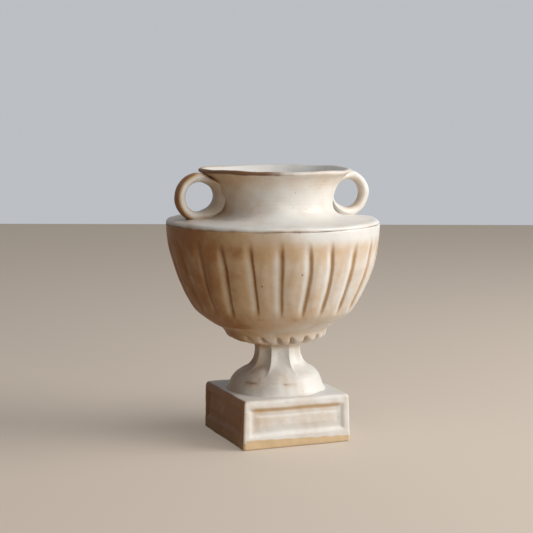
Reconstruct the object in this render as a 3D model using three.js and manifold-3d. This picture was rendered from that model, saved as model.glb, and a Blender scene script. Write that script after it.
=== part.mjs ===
// A footed urn in glazed stoneware: a panelled square plinth, a fluted stem, a notched collar,
// a fluted bowl, a thrown neck with a flared lip, and two loop handles.
// Millimetres, +Z up. The plinth stands on z = 0, the urn's axis is Z, the handles lie along X
// and the front looks towards -Y. Each clay part is luted to the next, so flat seats touch
// and curved seats keep a thin line of slip.
import * as THREE from 'three';
import { mergeVertices } from 'three/addons/utils/BufferGeometryUtils.js';
import Module from 'manifold-3d';

const wasm = await Module();
wasm.setup();

// Joints between the clay parts
const slipLine = 0.3;

// Plinth: a slab box, open underneath, with a sunk and fielded panel on each face
const plinthSide = 84.5;
const plinthHeight = 35.5;
const plinthLean = 0.8;
const plinthCorner = 3;
const plinthTopEdge = 3;
const plinthFootBevel = 1.2;
const plinthWall = 7;
const plinthSlab = 7;
const ventDiameter = 16;
const panelSideMargin = 4.8;
const panelTopMargin = 5.4;
const panelFootMargin = 8.4;
const panelDepth = 1.7;
const panelSlope = 3.6;
const fieldMargin = 2.6;
const fieldSlope = 1.4;
const fieldRise = 0.8;

// Stem: a thrown bell foot under a waisted column with hollow flutes
const footRadius = 36;
const bandHeight = 8.5;
const bandTopRadius = 34;
const domeHeight = 8.2;
const domeShoulder = 3;
const domeFullness = 0.56;
const columnBaseRadius = 23.6;
const columnWaistRadius = 17.2;
const columnWaistHeight = 30.5;
const columnTopRadius = 18.2;
const columnFlare = 5;
const stemHeight = 34;
const stemFlutes = 9;
const stemFluteDepth = 2.2;
const stemFluteFoot = 14.2;
const stemFluteFootFade = 4;
const stemFluteHeadRoom = 2.5;
const stemFluteHeadFade = 5;
const stemFluteTurn = 33.5;
const stemWall = 6;
const stemCap = 7;
const boreDome = 5;
const boreCrown = 1.5;
const boreFlare = 1;

// Collar: a band notched into lobes, wrapped round the foot of the bowl
const collarHeight = 12.6;
const collarSeatInset = 0.3;
const collarTuck = 5.1;
const collarEdgeHeight = 6.6;
const collarRim = 1.3;
const collarUnderRun = 9;
const collarUnderDrop = 4.4;
const collarLobes = 20;
const notchDepth = 2.4;
const notchTurn = 16.4;

// Bowl: a flat foot, a shallow cone, a quick turn and a steep fluted side
const bowlHeight = 89.8;
const bowlFootRadius = 14.5;
const bowlConeRadius = 38.6;
const bowlTurnRadius = 59;
const bowlTurnHeight = 26.5;
const bowlTurnAngle = 51;
const bowlConeAngle = 29;
const bowlConePull = 7;
const bowlUnderPull = 6;
const bowlTurnPull = 7;
const bowlWallRise = 28;
const shoulderRadius = 79;
const bowlWall = 5.5;
const bowlFloor = 6;
const bowlFlutes = 23;
const bowlFluteDepth = 2.2;
const bowlFluteFoot = 25;
const bowlFluteTop = 83;
const bowlFluteFootFade = 6;
const bowlFluteTopFade = 7;
const bowlFluteArch = 5;
const bowlFluteLand = 0.42;
const bowlFluteFloor = 0.8;
const bowlFluteTurn = 3.4;

// Neck: shoulder, waist and flared lip, thrown in one piece
const shoulderRound = 2.7;
const shoulderRise = 2.2;
const neckRootRadius = 56;
const neckWaistRadius = 43.8;
const neckWaistHeight = 13.6;
const neckWaistPull = 8;
const neckCoveRise = 1.2;
const neckCoveRun = 0.8;
const neckWall = 5;
const lipRadius = 56.4;
const lipThickness = 3.4;
const lipWidth = 4.6;
const lipSwell = 1.2;
const lipEase = 0.5;
const lipPullWidth = 9;
const lipPullHeight = 3;
const neckHeight = 40.7;

// Handles: round straps that leave the neck under the lip and land on the shoulder
const handleStandOff = 15.2;
const handleLoopWidth = 27.8;
const handleLoopHeight = 28.2;
const handleFootLift = 2.2;
const handleStartAngle = 122;
const handleTopLead = 10;
const handleFootRun = 17;
const handleThickness = 7;
const handleWidth = 11.5;
const handleRootFlare = 1.3;
const handleRootLength = 8;
const handleSquareness = 0.72;

// Fineness of the facets
const stemFluteColumns = 8;
const collarColumnShares = [0, 0.12, 0.3, 0.5, 0.7, 0.88];
const neckColumns = 48;
const strapSides = 12;

// Places that follow from the sizes
const stemBase = plinthHeight;
const bowlBase = stemBase + stemHeight;
const neckBase = bowlBase + bowlHeight;
const collarTopRadius = bowlConeRadius + collarRim;
const collarEdgeRadius = collarTopRadius - collarTuck;
const collarSeatRadius = columnTopRadius - collarSeatInset;

const glaze = new THREE.Color('#e6dfd0');
const surface = (tint, roughness) => new THREE.MeshStandardMaterial({
  color: glaze.clone().lerp(new THREE.Color('#b89a72'), tint), roughness, metalness: 0,
});

// Small tools for numbers and plane curves

const range = (count) => Array.from({ length: count }, (_, i) => i);
const spread = (from, to, count) => range(count + 1).map((i) => from + (to - from) * i / count);
const clamp01 = (x) => Math.min(1, Math.max(0, x));
const smooth = (x) => (1 - Math.cos(Math.PI * clamp01(x))) / 2;
const radians = (degrees) => degrees * Math.PI / 180;
const at = (radius, height) => new THREE.Vector2(radius, height);
const heading = (degrees, length) => at(Math.cos(radians(degrees)), Math.sin(radians(degrees)))
  .multiplyScalar(length);
const line = (a, b) => new THREE.LineCurve(a, b);
const bend = (a, b, c) => new THREE.QuadraticBezierCurve(a, b, c);

// Turns a chain of [curve, steps] into points of an outline, each with the normal on its right,
// which points out of the clay on an outline that climbs the outside of a wall.
function trace(chain) {
  const points = [];
  chain.forEach(([curve, steps], part) => {
    for (const i of range(steps + 1).slice(part ? 1 : 0)) {
      const t = curve.getTangent(i / steps);
      points.push({ radius: curve.getPoint(i / steps).x, height: curve.getPoint(i / steps).y,
        out: at(t.y, -t.x) });
    }
  });
  return points;
}

// The same outline moved out of the clay by a distance, or into it by a negative one.
const shifted = (outline, distance) => outline.map((p) => ({
  ...p, radius: p.radius + p.out.x * distance, height: p.height + p.out.y * distance,
}));

// Columns round the axis

const evenAngles = (count) => range(count).map((i) => 2 * Math.PI * i / count);

// Angles for a pattern that repeats, turned round the axis by some degrees: each copy has
// columns at the given shares of its pitch.
const patternAngles = (copies, turn, shares) => range(copies).flatMap((copy) =>
  shares.map((share) => radians(turn) + 2 * Math.PI * (copy + share) / copies));

// Where an angle falls in its copy of the pattern, from 0 to 1.
const patternShare = (angle, copies, turn) => {
  const share = (angle - radians(turn)) * copies / (2 * Math.PI) + 1e-9;
  return share - Math.floor(share);
};

// A ring of points at one place of an outline. cut gives how deep the clay is carved there.
function ring(place, angles, cut = () => 0) {
  return { angles, points: angles.map((angle) => {
    const depth = cut(angle, place);
    const radius = place.radius - place.out.x * depth;
    return new THREE.Vector3(radius * Math.cos(angle), radius * Math.sin(angle),
      place.height - place.out.y * depth);
  }) };
}

const pole = (height) => ({ angles: [0], points: [new THREE.Vector3(0, 0, height)] });

// Skins a row of rings with triangles. Rings may differ in their number of points: each step
// goes to the ring whose next point comes first round the axis. A ring of one point is a pole.
function skin(rings, closed = false) {
  const positions = [];
  const firsts = rings.map((r) => {
    const first = positions.length / 3;
    r.points.forEach((p) => positions.push(p.x, p.y, p.z));
    return first;
  });
  const faces = [];
  const next = (r, i) => (i + 1 < r.points.length ? r.angles[i + 1] : r.angles[0] + 2 * Math.PI);
  for (const k of range(closed ? rings.length : rings.length - 1)) {
    const m = (k + 1) % rings.length;
    const [low, high] = [rings[k], rings[m]];
    const lowSteps = low.points.length > 1 ? low.points.length : 0;
    const highSteps = high.points.length > 1 ? high.points.length : 0;
    let [i, j] = [0, 0];
    while (i < lowSteps || j < highSteps) {
      const a = firsts[k] + i % low.points.length;
      const b = firsts[m] + j % high.points.length;
      const lowFirst = next(low, i) <= next(high, j) + 1e-9;
      if (j >= highSteps || (i < lowSteps && lowFirst)) {
        faces.push(a, firsts[k] + (i + 1) % low.points.length, b);
        i += 1;
      } else {
        faces.push(a, firsts[m] + (j + 1) % high.points.length, b);
        j += 1;
      }
    }
  }
  const geometry = new THREE.BufferGeometry();
  geometry.setAttribute('position', new THREE.Float32BufferAttribute(positions, 3));
  geometry.setIndex(faces);
  return geometry;
}

// Joining and cutting

function toSolid(geometry) {
  const bare = geometry.clone();
  bare.deleteAttribute('normal');
  bare.deleteAttribute('uv');
  const merged = mergeVertices(bare, 1e-4);
  return new wasm.Manifold(new wasm.Mesh({ numProp: 3,
    vertProperties: new Float32Array(merged.getAttribute('position').array),
    triVerts: new Uint32Array(merged.getIndex().array) }));
}

function toGeometry(solid) {
  const { vertProperties, triVerts } = solid.getMesh();
  const geometry = new THREE.BufferGeometry();
  geometry.setAttribute('position', new THREE.BufferAttribute(vertProperties, 3));
  geometry.setIndex(new THREE.BufferAttribute(triVerts, 1));
  return geometry;
}

// Plinth

// A square ring with round corners, at one height.
function squareRing(side, corner, height, cornerSteps = 4) {
  const reach = side / 2 - corner;
  const points = range(4).flatMap((quarter) => range(cornerSteps + 1).map((step) => {
    const angle = Math.PI / 2 * (quarter + step / cornerSteps);
    const centre = Math.PI / 2 * (quarter + 0.5);
    return new THREE.Vector3(
      Math.SQRT2 * reach * Math.cos(centre) + corner * Math.cos(angle),
      Math.SQRT2 * reach * Math.sin(centre) + corner * Math.sin(angle), height);
  }));
  return { points, angles: points.map((p, i) => 2 * Math.PI * i / points.length) };
}

// A block with four sloped sides. Its front, on y = 0, runs over x and z as given, and its back,
// at y = depth, is smaller by the slope all round.
function frustum(left, right, bottom, top, slope, depth) {
  const middle = (y) => ({ angles: [0],
    points: [new THREE.Vector3((left + right) / 2, y, (bottom + top) / 2)] });
  const edge = (y, inset) => ({ angles: evenAngles(4), points: [
    new THREE.Vector3(left + inset, y, bottom + inset),
    new THREE.Vector3(right - inset, y, bottom + inset),
    new THREE.Vector3(right - inset, y, top - inset),
    new THREE.Vector3(left + inset, y, top - inset)] });
  return skin([middle(depth), edge(depth, slope), edge(0, 0), middle(0)]);
}

// One sunk panel with its raised field, as a block to cut and a block to put back. The field
// reaches a little way into the panel's floor, so that the two join.
function panel(face) {
  const half = plinthSide / 2 - panelSideMargin;
  const [low, high] = [panelFootMargin, plinthHeight - panelTopMargin];
  const floor = plinthLean + panelDepth;
  const past = panelSlope * plinthLean / panelDepth;
  const recess = frustum(-half - past, half + past, low - past, high + past,
    panelSlope + past, floor);
  const rooted = fieldRise + plinthWall / 4;
  const flare = fieldSlope * rooted / fieldRise;
  const inset = panelSlope + fieldMargin + fieldSlope;
  const field = frustum(-half + inset, half - inset, low + inset, high - inset, -flare, rooted);
  const turn = [0, 0, 90 * face];
  return {
    recess: toSolid(recess).translate([0, -plinthSide / 2, 0]).rotate(turn),
    field: toSolid(field).translate([0, floor - fieldRise - plinthSide / 2, 0]).rotate(turn),
  };
}

function makePlinth() {
  const edge = spread(0, 90, 3).map((angle) => squareRing(
    plinthSide - 2 * plinthLean - 2 * plinthTopEdge * (1 - Math.cos(radians(angle))), plinthCorner,
    plinthHeight - plinthTopEdge * (1 - Math.sin(radians(angle)))));
  const outside = skin([pole(0),
    squareRing(plinthSide - 2 * plinthFootBevel, plinthCorner, 0),
    squareRing(plinthSide, plinthCorner, plinthFootBevel), ...edge, pole(plinthHeight)]);
  const hollowTop = plinthHeight - plinthSlab;
  const hollowSide = plinthSide - 2 * plinthWall;
  const hollow = skin([pole(-1), squareRing(hollowSide, plinthCorner, -1),
    squareRing(hollowSide - 2 * plinthLean, plinthCorner, hollowTop), pole(hollowTop)]);
  const vent = new THREE.CylinderGeometry(ventDiameter / 2, ventDiameter / 2, plinthSlab + 2, 24);
  vent.rotateX(Math.PI / 2).translate(0, 0, plinthHeight - plinthSlab / 2);
  let solid = toSolid(outside).subtract(toSolid(hollow)).subtract(toSolid(vent));
  for (const face of range(4)) {
    const { recess, field } = panel(face);
    solid = solid.subtract(recess).add(field);
  }
  return toGeometry(solid);
}

// Stem

function makeStem() {
  const band = at(bandTopRadius, bandHeight);
  const root = at(columnBaseRadius, bandHeight + domeHeight);
  const waist = at(columnWaistRadius, columnWaistHeight);
  const columnBend = at(columnWaistRadius, bandHeight + domeHeight + columnFlare);
  const domeBend = at(bandTopRadius - domeShoulder, bandHeight + domeHeight * domeFullness);
  const outside = trace([
    [line(at(footRadius, 0), band), 2],
    [bend(band, domeBend, root), 4],
    [bend(root, columnBend, waist), 5],
    [line(waist, at(columnTopRadius, stemHeight)), 1],
  ]);
  outside[outside.length - 1].out = at(1, 0);
  // A hollow flute is deepest midway between its two sharp ridges.
  const flute = (angle, { height }) => {
    const hollow = 1 - (2 * patternShare(angle, stemFlutes, stemFluteTurn) - 1) ** 2;
    return stemFluteDepth * hollow * smooth((height - stemFluteFoot) / stemFluteFootFade)
      * smooth((stemHeight + stemFluteHeadRoom - height) / stemFluteHeadFade);
  };
  const boreTop = stemHeight - stemCap;
  const boreRadius = columnWaistRadius - stemWall;
  const inside = [at(0, boreTop), at(boreRadius * 0.8, boreTop - boreCrown),
    at(boreRadius, boreTop - boreDome),
    at(boreRadius + boreFlare, bandHeight + domeHeight - boreFlare),
    at(bandTopRadius - stemWall, bandHeight), at(footRadius - stemWall, 0)];
  const shares = range(stemFluteColumns).map((i) => i / stemFluteColumns);
  const columns = patternAngles(stemFlutes, stemFluteTurn, shares);
  const insideAngles = evenAngles(stemFlutes * 4);
  return skin([pole(inside[0].y),
    ...inside.slice(1).map((p) => ring({ radius: p.x, height: p.y, out: at(0, 0) }, insideAngles)),
    ...outside.map((place) => ring(place, columns, flute)), pole(stemHeight)]);
}

// Collar

// The cone of the bowl's foot, which the collar wraps. Its radius at a height above the foot.
const coneRadius = (height) => bowlFootRadius
  + (bowlConeRadius - bowlFootRadius) * height / collarHeight;

function makeCollar() {
  const seat = at(collarSeatRadius, 0);
  const edge = at(collarEdgeRadius, collarEdgeHeight);
  const top = at(collarTopRadius, collarHeight);
  const outside = trace([
    [bend(seat, at(collarEdgeRadius - collarUnderRun, collarEdgeHeight - collarUnderDrop),
      edge), 3],
    [line(edge, top), 3],
  ]);
  const notch = (angle, { height }) => {
    const share = patternShare(angle, collarLobes, notchTurn);
    const across = clamp01(1 - Math.min(share, 1 - share) * 4) ** 1.5;
    const under = smooth((height - collarEdgeHeight * 0.35) / (collarEdgeHeight * 0.5));
    const over = smooth((collarHeight * 0.93 - height) / (collarHeight - collarEdgeHeight));
    return notchDepth * across * under * over;
  };
  const slant = Math.hypot(bowlConeRadius - bowlFootRadius, collarHeight);
  const gap = slipLine * slant / collarHeight;
  const inside = [collarHeight, collarHeight / 2, 0].map((height) => ({
    radius: coneRadius(height) + gap, height, out: at(0, 0) }));
  const columns = patternAngles(collarLobes, notchTurn, collarColumnShares);
  return skin([...outside.map((place) => ring(place, columns, notch)),
    ...inside.map((place) => ring(place, evenAngles(collarLobes * 2)))], true);
}

// Bowl

const bowlSide = new THREE.CubicBezierCurve(
  at(bowlTurnRadius, bowlTurnHeight),
  at(bowlTurnRadius, bowlTurnHeight).add(heading(bowlTurnAngle, bowlTurnPull)),
  at(shoulderRadius, bowlHeight - bowlWallRise), at(shoulderRadius, bowlHeight));
const bowlUnder = new THREE.CubicBezierCurve(
  at(bowlConeRadius, collarHeight),
  at(bowlConeRadius, collarHeight).add(heading(bowlConeAngle, bowlConePull)),
  at(bowlTurnRadius, bowlTurnHeight).sub(heading(bowlTurnAngle, bowlUnderPull)),
  at(bowlTurnRadius, bowlTurnHeight));

// A gouged flute at a share of its pitch: flat land, a soft slope down, a steep wall back up.
function gouge(share) {
  if (share < bowlFluteLand) return 0;
  if (share < bowlFluteFloor) {
    return smooth((share - bowlFluteLand) / (bowlFluteFloor - bowlFluteLand));
  }
  return (1 - share) / (1 - bowlFluteFloor);
}

function makeBowl() {
  const outside = trace([
    [line(at(bowlFootRadius, 0), at(bowlConeRadius, collarHeight)), 1],
    [bowlUnder, 3],
    [bowlSide, 12],
  ]);
  const flute = (angle, { height }) => {
    const share = patternShare(angle, bowlFlutes, bowlFluteTurn);
    const middle = (1 + bowlFluteLand) / 2;
    const arch = bowlFluteArch * (2 * (share - middle) / (1 - bowlFluteLand)) ** 2;
    return bowlFluteDepth * gouge(share)
      * smooth((height - bowlFluteFoot) / bowlFluteFootFade)
      * smooth((bowlFluteTop - arch - height) / bowlFluteTopFade);
  };
  const wall = trace([
    [line(at(bowlFootRadius + bowlFloor, bowlFloor / 2), at(bowlConeRadius, collarHeight)), 1],
    [bowlUnder, 2],
    [bowlSide, 6],
  ]);
  const inside = shifted(wall, -bowlWall).reverse();
  inside[0].height = bowlHeight;
  inside[inside.length - 1].height = Math.max(bowlFloor, inside[inside.length - 1].height);
  const shares = [0, bowlFluteLand,
    (bowlFluteLand + bowlFluteFloor) / 2, bowlFluteFloor, (1 + bowlFluteFloor) / 2];
  const columns = patternAngles(bowlFlutes, bowlFluteTurn, shares);
  const innerAngles = evenAngles(bowlFlutes * 2);
  return skin([pole(0), ...outside.map((place) => ring(place, columns, flute)),
    ...inside.map((place) => ring(place, innerAngles)), pole(bowlFloor)]);
}

// Neck

const shoulderTop = at(shoulderRadius - shoulderRound, shoulderRound);
const neckRoot = at(neckRootRadius, shoulderRound + shoulderRise);
const neckWaist = at(neckWaistRadius, neckWaistHeight);
const lipUnder = at(lipRadius - lipSwell, neckHeight - lipThickness);
const lipOver = at(lipRadius - lipSwell, neckHeight - lipEase);
const lipCrown = at(lipRadius - lipWidth / 2, neckHeight);
const coveBend = at(neckWaistRadius + neckCoveRun, neckRoot.y + neckCoveRise);
const neckCove = bend(neckRoot, coveBend, neckWaist);
const neckFlare = new THREE.CubicBezierCurve(neckWaist,
  at(neckWaistRadius - neckCoveRun / 2, neckWaistHeight + neckWaistPull),
  at(lipRadius - lipPullWidth, lipUnder.y - lipPullHeight), lipUnder);
const neckOutside = [
  [bend(at(shoulderRadius, 0), at(shoulderRadius, shoulderRound), shoulderTop), 3],
  [line(shoulderTop, neckRoot), 1],
  [neckCove, 3],
  [neckFlare, 5],
  [bend(lipUnder, at(lipRadius + lipSwell, (lipUnder.y + lipOver.y) / 2), lipOver), 3],
];
const lipTop = [
  [line(lipOver, lipCrown), 1],
  [line(lipCrown, at(lipRadius - lipWidth, neckHeight - 2 * lipEase)), 1],
];

function makeNeck() {
  const outside = trace([...neckOutside, ...lipTop]);
  const wall = trace([[neckCove, 2], [neckFlare, 4]]);
  const inside = shifted(wall, -neckWall).reverse().slice(1);
  inside[inside.length - 1] = { radius: neckRootRadius - 2, height: 0, out: at(0, 0) };
  const columns = evenAngles(neckColumns);
  return skin([...outside, ...inside].map((place) => ring(place, columns)), true);
}

// Handles

// The neck's outer shape as a filled block, swollen by the slip line, to saddle the straps.
function neckBlock() {
  const outline = shifted(trace(neckOutside), slipLine);
  const top = outline[outline.length - 1].height;
  return toSolid(skin([pole(-1), ring({ ...outline[0], height: -1 }, evenAngles(neckColumns)),
    ...outline.map((place) => ring(place, evenAngles(neckColumns))), pole(top)]));
}

// A strap of rounded section, carried round the loop and flared at both roots. It starts and
// ends inside the neck's block, which cuts it to its saddles.
function makeHandle(side, block) {
  const centre = at(neckWaistRadius + handleStandOff,
    neckRoot.y + handleFootLift + handleLoopHeight / 2);
  const loop = new THREE.EllipseCurve(centre.x, centre.y, handleLoopWidth / 2,
    handleLoopHeight / 2, radians(handleStartAngle), radians(-90), true);
  const start = loop.getPoint(0);
  const foot = loop.getPoint(1);
  const path = trace([
    [line(start.clone().sub(loop.getTangent(0).multiplyScalar(handleTopLead)), start), 2],
    [loop, 17],
    [line(foot, at(foot.x - handleFootRun, foot.y)), 3],
  ]);
  const runs = [0];
  path.slice(1).forEach((p, i) => runs.push(runs[i]
    + Math.hypot(p.radius - path[i].radius, p.height - path[i].height)));
  const bare = runs[runs.length - 1] - handleTopLead - handleFootRun;
  const sectionAngles = evenAngles(strapSides);
  const rounded = (x) => Math.sign(x) * Math.abs(x) ** handleSquareness;
  const rings = path.map((p, i) => {
    const past = runs[i] - handleTopLead;
    const nearRoot = clamp01(1 - Math.min(past, bare - past) / handleRootLength);
    const swell = 1 + (handleRootFlare - 1) * nearRoot ** 2;
    return { angles: sectionAngles, points: sectionAngles.map((angle) => {
      const deep = rounded(Math.cos(angle)) * handleThickness / 2 * Math.sqrt(swell);
      const wide = rounded(Math.sin(angle)) * handleWidth / 2 * swell;
      return new THREE.Vector3(p.radius + p.out.x * deep, wide, p.height + p.out.y * deep);
    }) };
  });
  const end = (p) => ({ angles: [0], points: [new THREE.Vector3(p.radius, 0, p.height)] });
  const strap = toSolid(skin([end(path[0]), ...rings, end(path[path.length - 1])]));
  return toGeometry(strap.subtract(block).rotate([0, 0, side > 0 ? 0 : 180]));
}

// Assembly

const urn = new THREE.Group();

function place(name, geometry, height, finish) {
  geometry.computeVertexNormals();
  const mesh = new THREE.Mesh(geometry, finish);
  mesh.name = name;
  mesh.position.z = height;
  urn.add(mesh);
}

place('plinth', makePlinth(), 0, surface(0.12, 0.5));
place('stem', makeStem(), stemBase, surface(0.05, 0.45));
place('collar', makeCollar(), bowlBase, surface(0.3, 0.5));
place('bowl', makeBowl(), bowlBase, surface(0.25, 0.5));
place('neck', makeNeck(), neckBase, surface(0.1, 0.42));
const block = neckBlock();
place('handle_left', makeHandle(-1, block), neckBase, surface(0.15, 0.45));
place('handle_right', makeHandle(1, block), neckBase, surface(0.15, 0.45));

export default urn;
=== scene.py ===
"""A footed urn in glazed stoneware, seen from the photograph's angle.

Sizes inside the shape functions are millimetres and become metres when a mesh is made.
Every clay part is one closed surface, worked out on a grid. Bowl, neck, collar and stem are an
outline in radius and height, carried round the axis. A handle is a section carried along a
ring, and the plinth is a pile of squares. What the potter's tools left is added along the
surface normal.

Each part also carries four masks, from 0 to 1: one for the browning that the flame left,
which also holds painted shade on the side away from the key light and painted light on the
lit side; one for where glaze runs thin over an edge, which also holds painted shade on the
lip; one for where dark slip gathers, which also holds painted shade in flute floors, notches
and panel recesses; and one for where clay shows bare.
"""
import math

import bpy
import numpy as np
from mathutils import Matrix, Vector


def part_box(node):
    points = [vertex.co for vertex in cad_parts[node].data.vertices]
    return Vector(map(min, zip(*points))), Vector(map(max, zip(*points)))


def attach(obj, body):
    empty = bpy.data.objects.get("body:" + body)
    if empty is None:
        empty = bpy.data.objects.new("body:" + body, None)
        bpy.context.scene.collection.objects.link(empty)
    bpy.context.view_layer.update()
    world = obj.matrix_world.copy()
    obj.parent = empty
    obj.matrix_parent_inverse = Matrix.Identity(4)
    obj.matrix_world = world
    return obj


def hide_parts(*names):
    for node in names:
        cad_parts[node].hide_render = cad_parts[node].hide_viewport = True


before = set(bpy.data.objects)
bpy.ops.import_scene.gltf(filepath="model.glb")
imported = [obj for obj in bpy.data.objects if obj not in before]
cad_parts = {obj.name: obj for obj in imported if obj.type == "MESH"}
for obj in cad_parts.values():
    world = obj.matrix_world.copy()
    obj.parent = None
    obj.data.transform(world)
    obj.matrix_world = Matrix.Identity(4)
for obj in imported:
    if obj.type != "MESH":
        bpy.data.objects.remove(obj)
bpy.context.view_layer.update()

MM = 0.001
TAU = 2 * math.pi

# Where the photograph was taken from, in degrees and millimetres
CAMERA_AZIMUTH = -21.8
CAMERA_ELEVATION = 6.91
CAMERA_ROLL = 0.14
CAMERA_DISTANCE = 1047
CAMERA_TARGET_HEIGHT = 126.4
CAMERA_TARGET_ACROSS = -7.3
CAMERA_LENS = 95.3
CAMERA_SENSOR = 36

# The camera's direction, as an angle round the urn's axis
FRONT = math.radians(-90 + CAMERA_AZIMUTH)

# Heights where one clay part is luted to the next
PLINTH_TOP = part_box("plinth")[1].z / MM
STEM_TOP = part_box("stem")[1].z / MM
COLLAR_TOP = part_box("collar")[1].z / MM
BOWL_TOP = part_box("bowl")[1].z / MM
URN_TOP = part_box("neck")[1].z / MM

# How far the soft clay leaned to the camera's right as it dried: height, shift
LEAN = [(0, 0), (44, 0), (50, 1.7), (68, 1.6), (82, -1.2), (86, -2.4), (95, -1.8),
        (130, -1.8), (145, -2.7), (160, -2.9), (180, -2.0), (200, -1.4)]

RIPPLE_WAVES = 9


# Numbers and curves

def smooth(x):
    """0 below 0, 1 above 1, and half a cosine wave between."""
    return (1 - np.cos(np.pi * np.clip(x, 0, 1))) / 2


def bump(x, centre, width):
    """A bell of height 1 at centre, down to 1/e at width either side."""
    return np.exp(-((x - centre) / width) ** 2)


def signed_power(wave, power):
    """A wave raised to a power with its sign kept. Below 1 it is squarer, above 1 pinched."""
    return np.sign(wave) * np.abs(wave) ** power


def bezier(*points, steps=60):
    """Points along a Bezier curve of any order, by weighted Bernstein sums."""
    p = np.array(points, float)
    n = len(p) - 1
    t = np.linspace(0, 1, steps + 1)[:, None]
    return sum(math.comb(n, i) * (1 - t) ** (n - i) * t ** i * p[i] for i in range(n + 1))


def lengths(line):
    """How far along a line each of its points lies."""
    return np.concatenate([[0], np.cumsum(np.hypot(*np.diff(line, axis=0).T))])


def outline(*runs, spacing, closed=False):
    """Joins runs of points, drops doubles, and spaces them evenly along their length."""
    line = np.vstack(runs).astype(float)
    if closed:
        line = np.vstack([line, line[:1]])
    step = np.hypot(*np.diff(line, axis=0).T)
    line = line[np.concatenate([[True], step > 1e-6])]
    along = lengths(line)
    at = np.linspace(0, along[-1], round(along[-1] / spacing) + 1)
    even = np.column_stack([np.interp(at, along, line[:, axis]) for axis in (0, 1)])
    return even[:-1] if closed else even


def softened(line, closed=False):
    """Each point of an even outline becomes the mean of itself and its two neighbours. The ends
    of an open outline stay."""
    before, after = (line[-1:], line[:1]) if closed else (line[:1], line[-1:])
    pad = np.vstack([before, line, after])
    soft = (pad[:-2] + pad[1:-1] + pad[2:]) / 3
    if not closed:
        soft[0], soft[-1] = line[0], line[-1]
    return soft


def ripple(x, y, z, size, seed):
    """Smooth unevenness, mostly from -1 to 1: a sum of sine waves of about one size in all
    directions, drawn from a seed."""
    rng = np.random.default_rng(seed)
    total = np.zeros(np.broadcast(x, y, z).shape)
    for _ in range(RIPPLE_WAVES):
        wave = rng.normal(size=3)
        wave *= TAU / size * rng.uniform(0.6, 1.5) / np.linalg.norm(wave)
        total += np.sin(wave[0] * x + wave[1] * y + wave[2] * z + rng.uniform(0, TAU))
    return total / (RIPPLE_WAVES / 2)


def pitch_share(degrees, count):
    """Which of count even pitches round the axis an angle falls in, and where in that pitch it
    lies, from 0 to 1."""
    turns = degrees * count / 360
    whole = np.floor(turns)
    return whole.astype(int) % count, turns - whole


def from_front(angle):
    """An angle round the axis, counted from the camera's direction, in degrees, -180 to 180."""
    return (np.degrees(angle - FRONT) + 180) % 360 - 180


# Painted shade and light all round the urn, and the slip in the shoulder's joint

def painted_left_shade(front, start, reach):
    """Painted shade in warm brown on the side away from the key light: 0 to the right of start, in
    degrees from the front, 1 at reach degrees further left, and down to 0 again behind."""
    return smooth((start - front) / reach) * smooth((front + 175) / 60)


def painted_right_light(front):
    """Painted light: paler glaze on the side at the camera's right, where the key light falls."""
    return smooth((front - 5) / 75) * smooth((175 - front) / 40)


def patchy(points, level, swing, size, seed):
    """Where a line round the urn shows and where it breaks off: a ripple in plan, about a
    level, clipped from 0 to 1."""
    return np.clip(level + swing * ripple(points[..., 0], points[..., 1], 0, size, seed), 0, 1)


def shoulder_slip(points, front):
    """How much dark slip the joint of bowl and neck holds: in patches, and little on the right."""
    return patchy(points, 0.6, 0.8, 11, 77) * (1 - 0.85 * smooth((front - 5) / 40))


# Making meshes

def vectors(x, y, z):
    """One grid of vectors from grids, rows, columns or numbers that fill it."""
    return np.stack(np.broadcast_arrays(x, y, z), -1)


def turned(line, columns):
    """Carries an outline round the axis. Returns the angle of each column, and the points and
    outward normals as grids. The normal lies to the right of the outline's own direction."""
    angle = TAU * np.arange(columns)[None] / columns
    cos, sin = np.cos(angle), np.sin(angle)
    tangent = np.gradient(line, axis=0)
    tangent /= np.hypot(*tangent.T)[:, None]
    points = vectors(line[:, :1] * cos, line[:, :1] * sin, line[:, 1:])
    normals = vectors(tangent[:, 1:] * cos, tangent[:, 1:] * sin, -tangent[:, :1])
    return angle, points, normals


def handmade(points, normals, *ripples):
    """Moves points along their normals by smooth unevenness, one ripple after another. A ripple
    is its size, its depth and its seed."""
    for size, depth, seed in ripples:
        x, y, z = np.moveaxis(points, -1, 0)
        points = points + normals * (depth * ripple(x, y, z, size, seed))[..., None]
    return points


def lean(points):
    """Shifts points to the camera's right by the lean at their height."""
    heights, shifts = np.array(LEAN).T
    shift = np.interp(points[..., 2], heights, shifts)
    across = math.radians(CAMERA_AZIMUTH)
    points[..., 0] += math.cos(across) * shift
    points[..., 1] += math.sin(across) * shift
    return points


def link_surface(name, points, masks, capped=False):
    """A closed mesh from a grid of points, rows by columns, whose columns close on themselves.
    The rows close too, or, when capped, the first and the last are each shut with a fan round
    their mean. Masks become point attributes."""
    rows, columns = points.shape[:2]
    index = np.arange(rows * columns).reshape(rows, columns)
    beside = np.roll(index, -1, axis=1)
    quads = np.stack([index, beside, np.roll(beside, -1, axis=0), np.roll(index, -1, axis=0)], -1)
    verts = points.reshape(-1, 3)
    values = {key: np.broadcast_to(value, (rows, columns)).reshape(-1)
              for key, value in masks.items()}
    fans = []
    if capped:
        quads = quads[:-1]
        for row, ring in ((0, (beside[0], index[0])), (-1, (index[-1], beside[-1]))):
            middle = np.full(columns, len(verts))
            verts = np.vstack([verts, points[row].mean(axis=0)])
            values = {key: np.append(value, value[index[row, 0]])
                      for key, value in values.items()}
            fans += np.stack([*ring, middle], -1).tolist()
    mesh = bpy.data.meshes.new(name)
    mesh.from_pydata((verts * MM).tolist(), [], quads.reshape(-1, 4).tolist() + fans)
    for key, value in values.items():
        layer = mesh.attributes.new(key, "FLOAT", "POINT")
        layer.data.foreach_set("value", np.clip(value, 0, 1).astype(np.float32))
    mesh.polygons.foreach_set("use_smooth", np.ones(len(mesh.polygons), bool))
    mesh.update()
    piece = bpy.data.objects.new(name, mesh)
    bpy.context.scene.collection.objects.link(piece)
    return piece


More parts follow.
